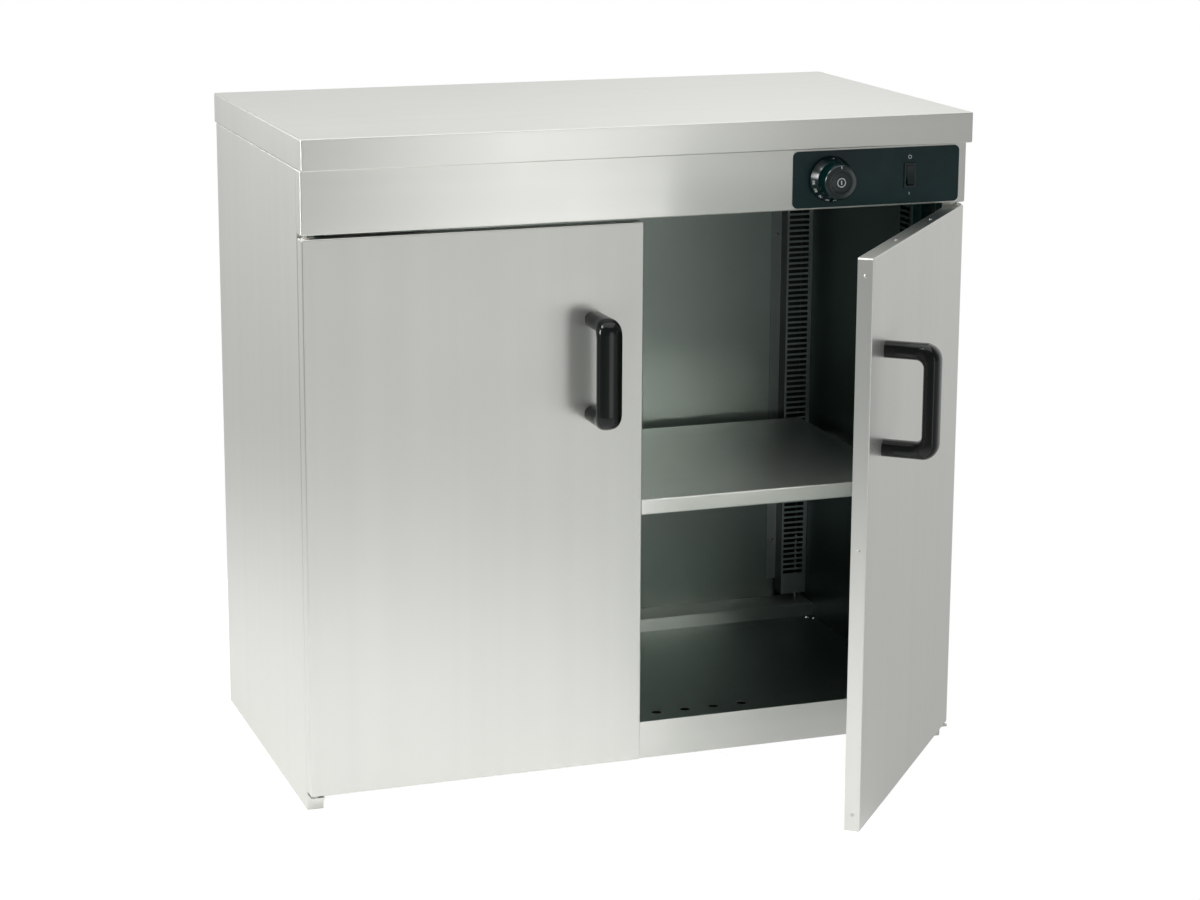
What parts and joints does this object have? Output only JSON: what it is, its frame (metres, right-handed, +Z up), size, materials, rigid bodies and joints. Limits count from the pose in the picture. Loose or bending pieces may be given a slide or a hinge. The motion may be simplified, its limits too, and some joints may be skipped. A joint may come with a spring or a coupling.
{
  "type": "hot cupboard",
  "caption": "Free-standing stainless steel hot cupboard with a flat worktop, pivoted doors with bar handles, an inner shelf, a thermostat knob and a rocker switch.",
  "frame": {"origin": "on the floor, under the middle of the carcass", "axes": "+X to the right seen from the front, +Y to the back, +Z up"},
  "size_m": [0.9009, 0.8293, 0.87],
  "materials": {
    "outer_steel": "satin, fine vertical grain",
    "inner_steel": "satin",
    "fixings": "bright plated",
    "element_sheath": "heat-darkened",
    "insulation": "soft mineral wool",
    "control_black": "satin black",
    "gloss_black": "glossy moulded black",
    "matt_black": "matt",
    "pale_insulator": "matt",
    "lead_sheath": "smooth sheath"
  },
  "bodies": {
    "cabinet": {"worktop": "outer_steel", "left_side_panel": "outer_steel", "right_side_panel": "outer_steel", "back_panel": "outer_steel", "fascia": "outer_steel", "worktop_stiffeners": "inner_steel", "left_side_liner": "inner_steel", "right_side_liner": "inner_steel", "back_liner": "inner_steel", "ceiling_panel": "inner_steel", "base_deck": "inner_steel", "base_pan": "inner_steel", "rear_ledge": "inner_steel", "left_rear_upright": "inner_steel", "right_rear_upright": "inner_steel", "left_front_upright": "inner_steel", "right_front_upright": "inner_steel", "shelf_clips": "inner_steel", "element_brackets": "inner_steel", "pivot_lugs": "inner_steel", "fascia_screws": "fixings", "interior_screws": "fixings", "back_panel_screws": "fixings", "pivot_pins": "fixings", "sensor_bulb": "fixings", "capillary_tube": "fixings", "thermostat_body": "fixings", "front_heating_element": "element_sheath", "rear_heating_element": "element_sheath", "wall_insulation": "insulation", "control_plate": "control_black", "switch_housing": "gloss_black", "cable_gland": "matt_black", "catch_magnets": "matt_black", "element_beads": "pale_insulator", "terminal_block": "pale_insulator", "wiring_loom": "lead_sheath"},
    "left_door": {"left_door_skin": "outer_steel", "left_door_liner": "inner_steel", "left_door_insulation": "insulation", "left_door_handle": "gloss_black", "left_handle_screws": "fixings", "left_door_bushes": "pale_insulator", "left_door_rivets": "fixings", "left_catch_plate": "inner_steel"},
    "right_door": {"right_door_skin": "outer_steel", "right_door_liner": "inner_steel", "right_door_insulation": "insulation", "right_door_handle": "gloss_black", "right_handle_screws": "fixings", "right_door_bushes": "pale_insulator", "right_door_rivets": "fixings", "right_catch_plate": "inner_steel"},
    "knob": {"knob": "gloss_black", "knob_cap": "gloss_black", "thermostat_spindle": "fixings"},
    "rocker": {"rocker": "gloss_black"},
    "shelf": {"shelf": "inner_steel"}
  },
  "joints": [
    {"name": "left_door_hinge", "type": "hinge", "parent": "cabinet", "child": "left_door", "pos_m": [-0.441, -0.2455, 0.385], "axis": [0, 0, -1], "range_deg": [0, 110]},
    {"name": "right_door_hinge", "type": "hinge", "parent": "cabinet", "child": "right_door", "pos_m": [0.441, -0.2455, 0.385], "axis": [0, 0, 1], "range_deg": [-50, 60]},
    {"name": "knob_turn", "type": "hinge", "parent": "cabinet", "child": "knob", "pos_m": [0.2535, -0.254, 0.789], "axis": [0, 1, 0], "range_deg": [0, 270]},
    {"name": "rocker_tilt", "type": "hinge", "parent": "cabinet", "child": "rocker", "pos_m": [0.3665, -0.252, 0.789], "axis": [1, 0, 0], "range_deg": [0, 16]},
    {"name": "shelf_lift", "type": "slide", "parent": "cabinet", "child": "shelf", "axis": [0, 0, 1], "range_m": [0, 0.2]}
  ]
}
